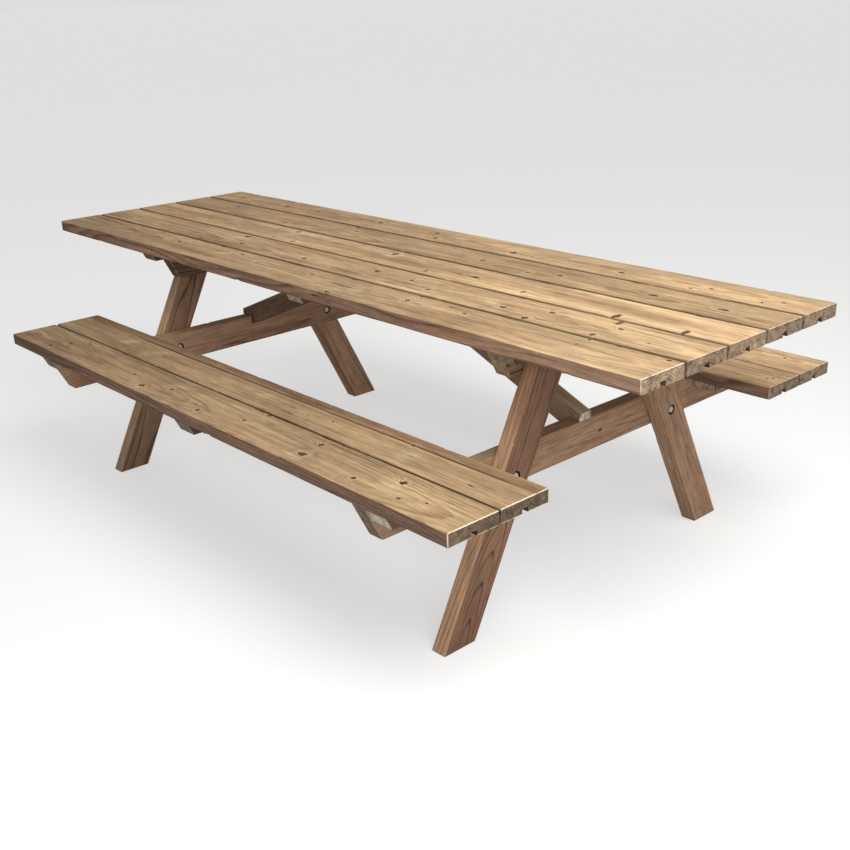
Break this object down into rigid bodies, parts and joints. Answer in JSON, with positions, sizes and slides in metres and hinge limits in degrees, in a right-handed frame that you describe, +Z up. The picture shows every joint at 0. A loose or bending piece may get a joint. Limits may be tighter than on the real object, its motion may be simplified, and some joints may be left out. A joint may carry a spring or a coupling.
{
  "type": "picnic table",
  "caption": "Rectangular wooden picnic table with two fixed benches on splayed end frames, bolted legs, screwed battens and diagonal braces.",
  "frame": {"origin": "middle of the footprint on the ground, under the middle of the tabletop", "axes": "+X along the boards, towards the end where the frames stand nearer to the tabletop's end; +Y from the front bench to the back bench; +Z up"},
  "size_m": [2.48, 1.44, 0.73],
  "materials": {
    "board_wood": "planed, brown-impregnated softwood, sun-lightened, matt",
    "frame_wood": "sawn and planed, brown-impregnated softwood, matt",
    "zinc_steel": "zinc plated, dull"
  },
  "bodies": {
    "root": {"back_bench_inner_board": "board_wood", "back_bench_outer_board": "board_wood", "front_bench_inner_board": "board_wood", "front_bench_outer_board": "board_wood", "left_back_bench_batten": "frame_wood", "left_back_leg": "frame_wood", "left_back_seat_bolt": "zinc_steel", "left_back_seat_head_washer": "zinc_steel", "left_back_seat_nut": "zinc_steel", "left_back_seat_nut_washer": "zinc_steel", "left_back_top_bolt": "zinc_steel", "left_back_top_head_washer": "zinc_steel", "left_back_top_nut": "zinc_steel", "left_back_top_nut_washer": "zinc_steel", "left_brace": "frame_wood", "left_front_bench_batten": "frame_wood", "left_front_leg": "frame_wood", "left_front_seat_bolt": "zinc_steel", "left_front_seat_head_washer": "zinc_steel", "left_front_seat_nut": "zinc_steel", "left_front_seat_nut_washer": "zinc_steel", "left_front_top_bolt": "zinc_steel", "left_front_top_head_washer": "zinc_steel", "left_front_top_nut": "zinc_steel", "left_front_top_nut_washer": "zinc_steel", "left_seat_beam": "frame_wood", "left_top_batten": "frame_wood", "left_top_cleat": "frame_wood", "middle_back_bench_batten": "frame_wood", "middle_front_bench_batten": "frame_wood", "middle_top_batten": "frame_wood", "right_back_bench_batten": "frame_wood", "right_back_leg": "frame_wood", "right_back_seat_bolt": "zinc_steel", "right_back_seat_head_washer": "zinc_steel", "right_back_seat_nut": "zinc_steel", "right_back_seat_nut_washer": "zinc_steel", "right_back_top_bolt": "zinc_steel", "right_back_top_head_washer": "zinc_steel", "right_back_top_nut": "zinc_steel", "right_back_top_nut_washer": "zinc_steel", "right_brace": "frame_wood", "right_front_bench_batten": "frame_wood", "right_front_leg": "frame_wood", "right_front_seat_bolt": "zinc_steel", "right_front_seat_head_washer": "zinc_steel", "right_front_seat_nut": "zinc_steel", "right_front_seat_nut_washer": "zinc_steel", "right_front_top_bolt": "zinc_steel", "right_front_top_head_washer": "zinc_steel", "right_front_top_nut": "zinc_steel", "right_front_top_nut_washer": "zinc_steel", "right_seat_beam": "frame_wood", "right_top_batten": "frame_wood", "right_top_cleat": "frame_wood", "top_board_1": "board_wood", "top_board_2": "board_wood", "top_board_3": "board_wood", "top_board_4": "board_wood", "top_board_5": "board_wood"}
  },
  "joints": []
}
